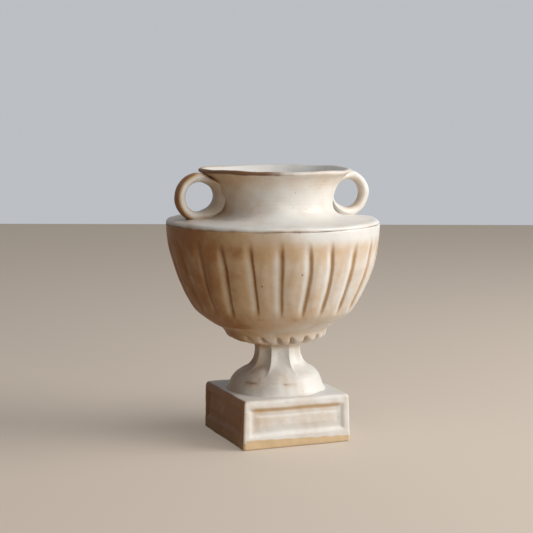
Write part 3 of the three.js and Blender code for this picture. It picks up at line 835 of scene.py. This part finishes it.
def plinth():
    """Squares are piled up along the outline. Each side is pressed in by a panel, whose frame is
    a little uneven: a smooth step down to its floor and a lower one up to its field. The foot
    band is bare of glaze, and the left face is painted dark brown as shade, with painted shade
    also along each panel's top wall and round the edge of its field."""
    top = PLINTH_TOP
    line = plinth_outline()
    half, height = line[:, :1], line[:, 1:]
    corner = np.interp(half, [8, 30, 42], [8, 6, 2.0])
    x, y, place, face, nx, ny = square_ring(half, corner)
    across = place * (half - corner)
    outer = smooth((half - 39.5) / 1.2)
    below, above, beside = np.random.default_rng(4).uniform(-0.35, 0.35, (4, 5))[face].T[:3]
    tilt = 0.8 * (across / 42)
    low = 8.4 + below + 0.4 * tilt
    high = top - 5.4 + above - 0.3 * tilt
    reach = 37.4 + beside
    wobble = 0.35 * np.sin(across / 7 + 3 * face) + 0.25 * np.sin(height / 5 + face)
    gap = np.minimum(np.minimum(height - low, high - height), reach - np.abs(across))
    gap = gap + 0.5 * wobble
    field = smooth((gap - 5.4) / 2.6) * outer
    press = 1.50 * smooth(gap / 3.2) * outer - 0.34 * field
    normal = vectors(nx, ny, 0)
    points = vectors(x, y, height) - normal * press[..., None]
    points = handmade(points, normal * outer[..., None], (38, 0.30, 61), (10, 0.12, 62))
    upper = smooth((height - top + 2) / 2) * smooth((half - 14) / 8)
    points = handmade(points, vectors(0, 0, upper), (30, 0.28, 63))
    glaze_end = np.where(face == 0, 6.2 - 1.3 * place, 5.4)
    ragged = 0.22 * ripple(points[..., 0], points[..., 1], 0, 9, 66)
    bare = smooth((glaze_end + ragged - height) / 0.5)
    bare = np.maximum(bare, smooth((36.5 - half) / 0.5) * smooth(top - 1 - height))
    # Brown along each panel's top wall, which faces down: painted shade together with glaze
    # breaking there
    top_wall_shade_and_break = bump(high - height, 2.0, 2.0) * smooth((reach - 2 - np.abs(across)) / 4) * outer
    top_edge = bump(np.hypot(half - 41.0, height - top + 0.8), 0, 1.4)
    joint = bump(height, glaze_end + 0.4, 0.5) * outer
    # Painted shade in the step round each panel's field
    field_edge_shade = bump(gap, 5.0, 0.9) * outer * (height < high - 3)
    # Painted shade in dark brown over the left face, which also covers most of its bare band
    left_face_shade = smooth((-nx - 0.62) / 0.3) * outer
    masks = {"toast_and_shade": 0.10 + 1.35 * left_face_shade + 0.50 * top_wall_shade_and_break + 0.12 * field,
             "break_and_shade": 0.14 * top_edge + 0.2 * joint,
             "slip_and_shade": 0.20 * field_edge_shade + 0.30 * left_face_shade, "bare": bare * (1 - 0.75 * left_face_shade)}
    return link_surface("plinth_box", points, masks)


# Camera, floor and light, with the floor and the lamps in metres

FLOOR_COLOUR = (0.50, 0.43, 0.36, 1)
FLOOR_GLOW = 0.40
FLOOR_HALF = 1.735
FLOOR_SINK = 0.0002
BACKDROP = (0.50, 0.52, 0.55, 1)
ROOM_LIGHT = (0.058, 0.057, 0.060, 1)
LAMP_DISTANCE = 1.5
LAMP_TARGET = Vector((0, 0, 0.11))


def make_camera():
    """The camera stands where the photograph was taken, level but for a slight roll."""
    azimuth, elevation = math.radians(CAMERA_AZIMUTH), math.radians(CAMERA_ELEVATION)
    back = Vector((math.sin(azimuth) * math.cos(elevation),
                   -math.cos(azimuth) * math.cos(elevation), math.sin(elevation)))
    right = Vector((math.cos(azimuth), math.sin(azimuth), 0))
    target = right * CAMERA_TARGET_ACROSS + Vector((0, 0, CAMERA_TARGET_HEIGHT))
    turn = Matrix((right, back.cross(right), back)).transposed().to_4x4()
    data = bpy.data.cameras.new("camera")
    data.lens = CAMERA_LENS
    data.sensor_width = CAMERA_SENSOR
    data.clip_start, data.clip_end = 0.05, 50
    camera = bpy.data.objects.new("camera", data)
    camera.matrix_world = (Matrix.Translation((target + back * CAMERA_DISTANCE) * MM) @ turn
                           @ Matrix.Rotation(math.radians(CAMERA_ROLL), 4, "Z"))
    bpy.context.scene.collection.objects.link(camera)
    bpy.context.scene.camera = camera


def floor_material():
    """Pale matte paint. Camera and mirror rays see part of its colour unshaded, so that the
    ground stays pale and keeps the object's shadow."""
    material, n = empty_material("pale_floor")
    shader = n.add("ShaderNodeBsdfPrincipled")
    shader.inputs["Base Color"].default_value = FLOOR_COLOUR
    shader.inputs["Roughness"].default_value = 0.9
    shine = n.add("ShaderNodeEmission")
    shine.inputs["Color"].default_value = FLOOR_COLOUR
    n.join(n.math("MULTIPLY", n.seen(), FLOOR_GLOW), shine.inputs["Strength"])
    both = n.add("ShaderNodeAddShader")
    n.join(shader.outputs["BSDF"], both.inputs[0])
    n.join(shine.outputs["Emission"], both.inputs[1])
    n.join(both.outputs["Shader"], n.add("ShaderNodeOutputMaterial").inputs["Surface"])
    return material


def make_floor():
    """A plain square that the urn stands on, square on to the camera and a hair below it."""
    corners = [(x * FLOOR_HALF, y * FLOOR_HALF, -FLOOR_SINK)
               for x, y in ((-1, -1), (1, -1), (1, 1), (-1, 1))]
    mesh = bpy.data.meshes.new("floor")
    mesh.from_pydata(corners, [], [(0, 1, 2, 3)])
    mesh.materials.append(floor_material())
    floor = bpy.data.objects.new("floor", mesh)
    floor.rotation_euler.z = math.radians(CAMERA_AZIMUTH)
    bpy.context.scene.collection.objects.link(floor)


def softbox(name, turn, elevation, size, power, colour=(1, 1, 1)):
    """A square lamp that faces the urn. turn counts from the camera's direction to its right."""
    azimuth, up = FRONT + math.radians(turn), math.radians(elevation)
    way = Vector((math.cos(azimuth) * math.cos(up), math.sin(azimuth) * math.cos(up),
                  math.sin(up)))
    data = bpy.data.lights.new(name, "AREA")
    data.shape = "SQUARE"
    data.size = size
    data.energy = power
    data.color = colour
    lamp = bpy.data.objects.new(name, data)
    lamp.location = way * LAMP_DISTANCE + LAMP_TARGET
    lamp.rotation_mode = "QUATERNION"
    lamp.rotation_quaternion = way.to_track_quat("Z", "Y")
    bpy.context.scene.collection.objects.link(lamp)


def make_light():
    """A broad key from the right, a soft lamp from above, a low one at the front right, a faint
    warm one at the left, and a dim room. Camera and mirror rays see a pale backdrop."""
    softbox("key", 80, 26, 1.0, 20)
    softbox("overhead", 40, 72, 0.9, 5)
    softbox("bounce", 34, 7, 0.7, 7, (1.0, 0.96, 0.90))
    softbox("warm_fill", -42, 4, 0.9, 0.3, (1.0, 0.74, 0.48))
    world = bpy.data.worlds.new("studio")
    world.use_nodes = True
    n = Nodes(world.node_tree)
    back = world.node_tree.nodes["Background"]
    n.join(n.blend(n.seen(), ROOM_LIGHT, BACKDROP), back.inputs["Color"])
    bpy.context.scene.world = world


make_camera()
make_floor()
make_light()

# Both are the same glaze. The masks of each part set how toasted it is and where shade and light
# are painted on it.
TOASTED = clay_material("toasted_glaze")
CREAM = clay_material("cream_glaze_white")

finish_piece(plinth(), "plinth", CREAM)
finish_piece(stem(), "stem", CREAM)
finish_piece(collar(), "collar", TOASTED)
finish_piece(bowl(), "bowl", TOASTED)
finish_piece(neck(), "neck", CREAM)
finish_piece(handle("handle_strap_left", -1, seed=31), "handle_left", CREAM)
finish_piece(handle("handle_strap_right", 1, seed=47), "handle_right", CREAM)

bpy.context.scene.view_settings.view_transform = "Standard"
